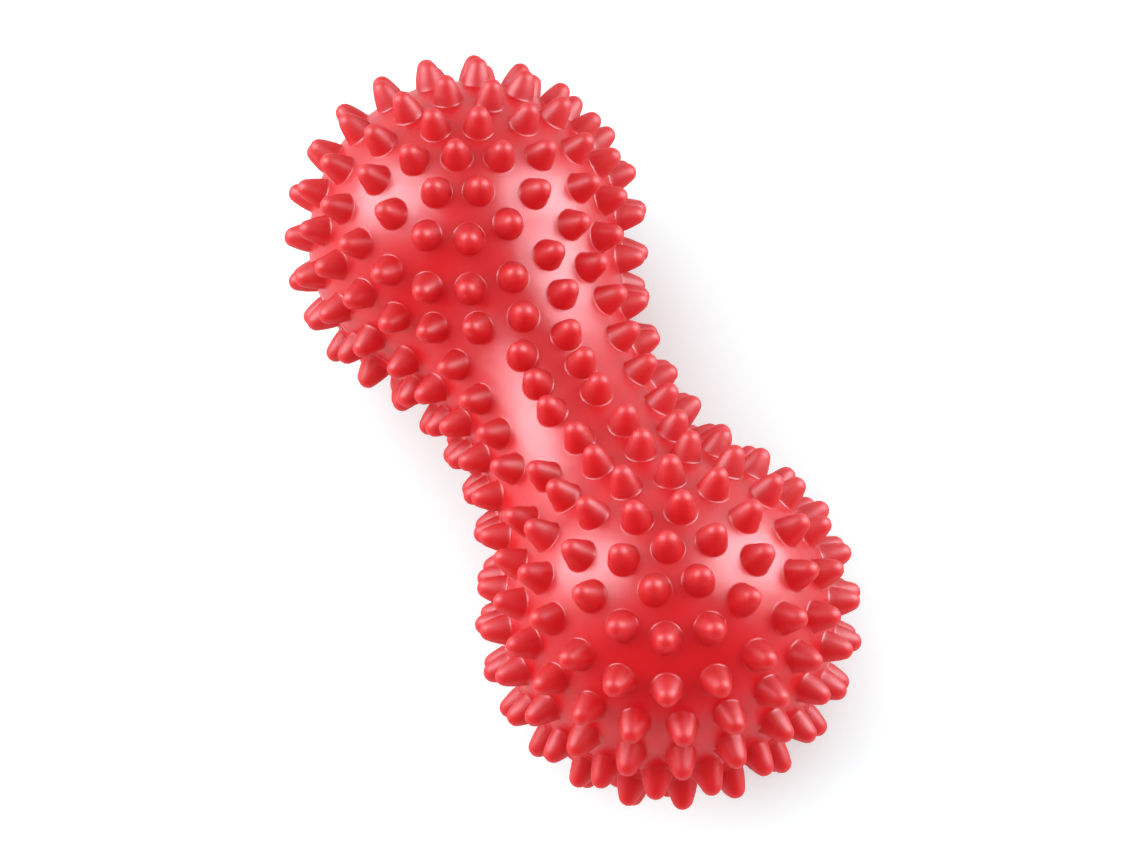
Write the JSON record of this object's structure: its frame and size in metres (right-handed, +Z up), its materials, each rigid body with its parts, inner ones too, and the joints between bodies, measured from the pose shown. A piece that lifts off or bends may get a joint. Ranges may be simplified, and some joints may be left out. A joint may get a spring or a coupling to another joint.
{
  "type": "peanut massage ball",
  "caption": "Spiky soft vinyl massage ball in a peanut shape: two round lobes joined by a waist, with blunt spikes all over",
  "frame": {"origin": "middle of the footprint, at the height of the lowest spike tips", "axes": "+X along the long axis, from one lobe to the other; +Z up as the ball lies on its spikes"},
  "size_m": [0.1798, 0.0794, 0.0793],
  "materials": {
    "vinyl": "soft satin-gloss red vinyl"
  },
  "bodies": {
    "root": {"massage_ball": "vinyl"}
  },
  "joints": []
}
